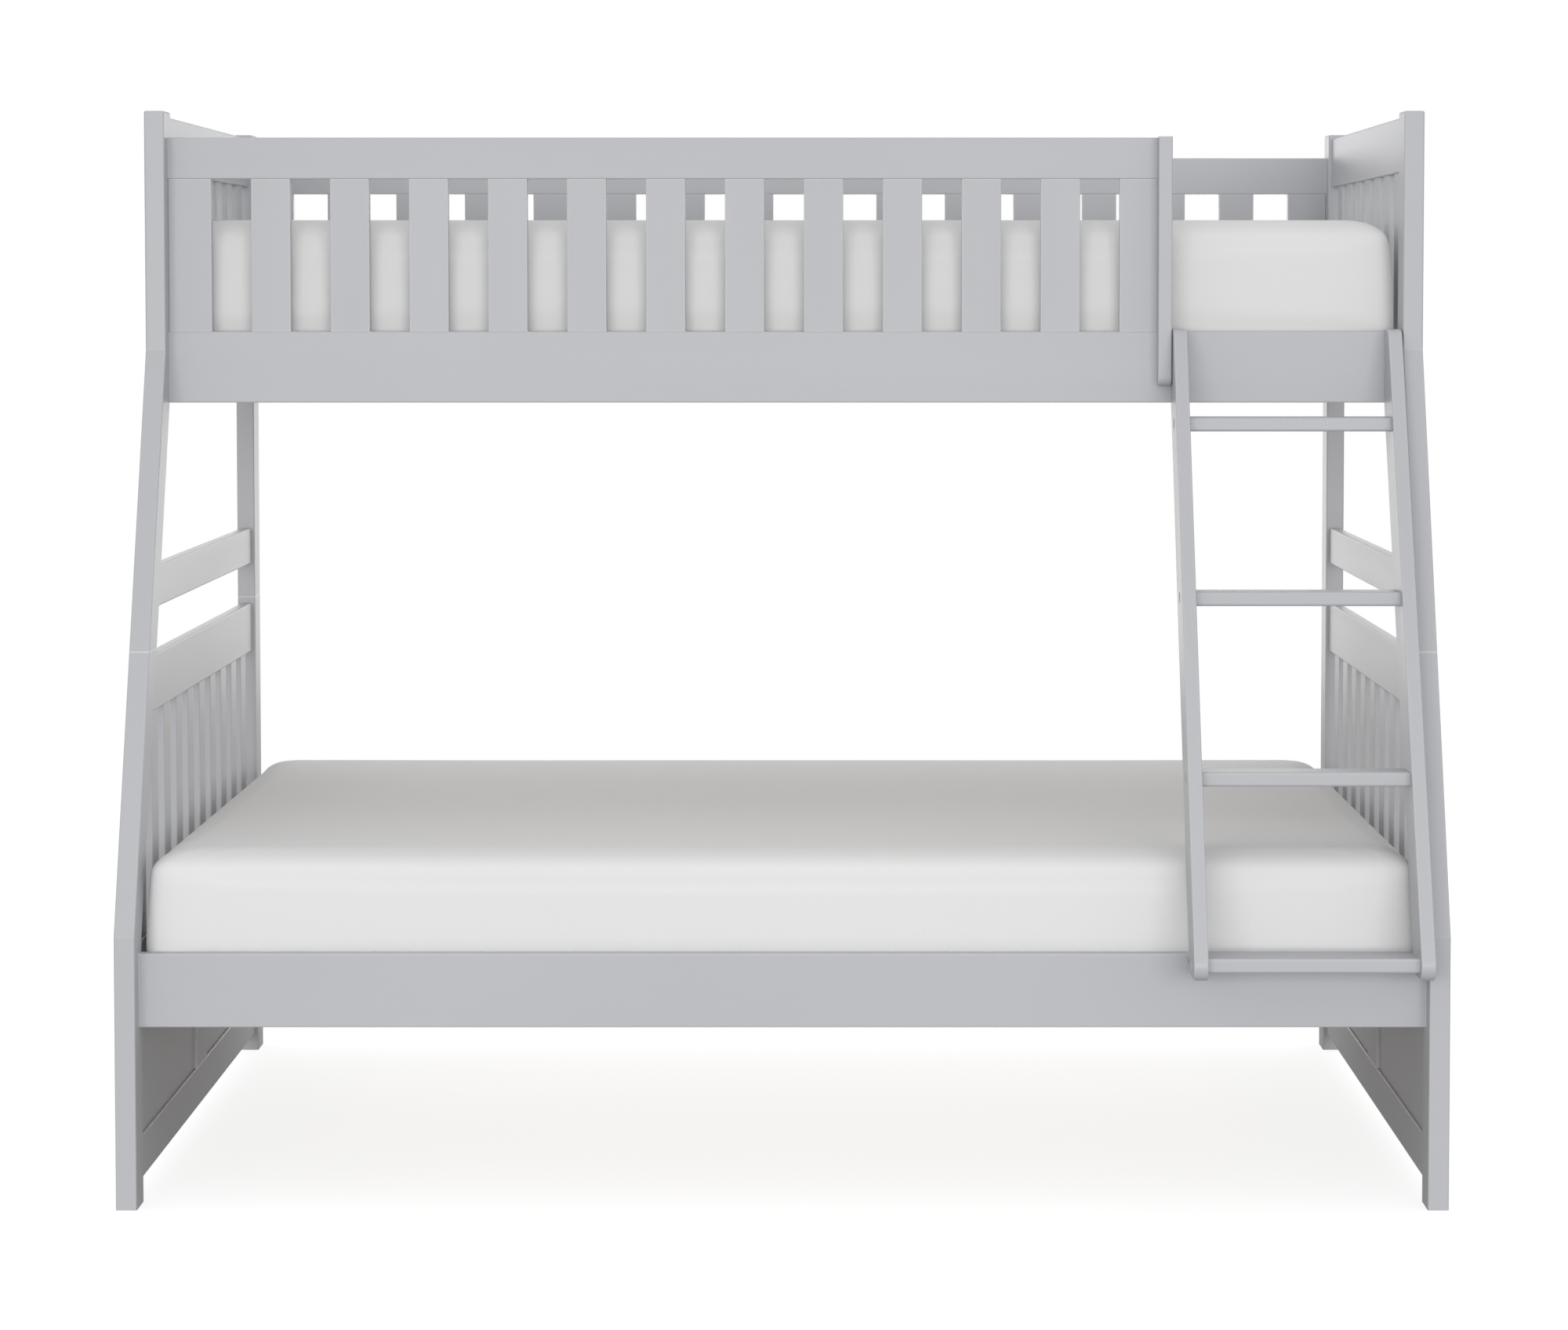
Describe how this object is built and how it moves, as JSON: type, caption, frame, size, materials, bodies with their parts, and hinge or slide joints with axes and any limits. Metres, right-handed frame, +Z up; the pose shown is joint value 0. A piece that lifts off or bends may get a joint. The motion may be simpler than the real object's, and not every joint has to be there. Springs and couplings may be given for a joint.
{
  "type": "bunk bed with ladder",
  "caption": "Painted wooden bunk bed: single upper bed over a wider lower bed, slanted front posts, slatted guards and ends, leaning hook-on ladder and plain mattresses.",
  "frame": {"origin": "on the floor, at the middle of the bed's outline", "axes": "+X along the bed towards the ladder end, -Y is the front where the ladder leans, +Z up"},
  "size_m": [2.038, 1.5395, 1.69],
  "materials": {
    "painted_wood": "smooth satin light grey paint over solid wood",
    "bare_pine": "planed bare pine",
    "mattress_cover": "smooth white knitted cover",
    "dark_steel": "black oxide steel",
    "zinc_steel": "zinc plated steel",
    "rubber": "matt black rubber"
  },
  "bodies": {
    "bed_frame": {"barrel_nuts": "zinc_steel", "batten_screws": "zinc_steel", "brace_rail_left": "painted_wood", "brace_rail_right": "painted_wood", "frame_bolts": "dark_steel", "guard_end_batten": "painted_wood", "guard_front_slats": "painted_wood", "guard_front_stiles": "painted_wood", "guard_front_top_rail": "painted_wood", "guard_rear_slats": "painted_wood", "guard_rear_stiles": "painted_wood", "guard_rear_top_rail": "painted_wood", "lower_cleat_screws": "zinc_steel", "lower_cleats": "bare_pine", "lower_end_bottom_rail_left": "painted_wood", "lower_end_bottom_rail_right": "painted_wood", "lower_end_mid_rail_left": "painted_wood", "lower_end_mid_rail_right": "painted_wood", "lower_end_panels_left": "painted_wood", "lower_end_panels_right": "painted_wood", "lower_end_slats_left": "painted_wood", "lower_end_slats_right": "painted_wood", "lower_end_stile_left": "painted_wood", "lower_end_stile_right": "painted_wood", "lower_end_top_rail_left": "painted_wood", "lower_end_top_rail_right": "painted_wood", "lower_slat_screws": "zinc_steel", "lower_slats": "bare_pine", "post_front_lower_left": "painted_wood", "post_front_lower_right": "painted_wood", "post_front_upper_left": "painted_wood", "post_front_upper_right": "painted_wood", "post_pins": "zinc_steel", "post_rear_lower_left": "painted_wood", "post_rear_lower_right": "painted_wood", "post_rear_upper_left": "painted_wood", "post_rear_upper_right": "painted_wood", "side_rail_lower_front": "painted_wood", "side_rail_lower_rear": "painted_wood", "side_rail_upper_front": "painted_wood", "side_rail_upper_rear": "painted_wood", "upper_cleat_screws": "zinc_steel", "upper_cleats": "bare_pine", "upper_end_low_rail_left": "painted_wood", "upper_end_low_rail_right": "painted_wood", "upper_end_slats_left": "painted_wood", "upper_end_slats_right": "painted_wood", "upper_end_top_rail_left": "painted_wood", "upper_end_top_rail_right": "painted_wood", "upper_slat_screws": "zinc_steel", "upper_slats": "bare_pine"},
    "ladder": {"ladder_board_left": "painted_wood", "ladder_board_right": "painted_wood", "ladder_bolts": "dark_steel", "ladder_bumpers": "rubber", "ladder_hook_screws": "zinc_steel", "ladder_hooks": "zinc_steel", "ladder_rungs": "painted_wood"},
    "upper_mattress": {"mattress_upper": "mattress_cover"},
    "lower_mattress": {"mattress_lower": "mattress_cover"}
  },
  "joints": [
    {"name": "ladder_lift", "type": "slide", "parent": "bed_frame", "child": "ladder", "axis": [0, 0, 1], "range_m": [0, 0.06]},
    {"name": "upper_mattress_lift", "type": "slide", "parent": "bed_frame", "child": "upper_mattress", "axis": [0, 0, 1], "range_m": [0, 0.36]},
    {"name": "lower_mattress_lift", "type": "slide", "parent": "bed_frame", "child": "lower_mattress", "axis": [0, 0, 1], "range_m": [0, 0.01]}
  ]
}
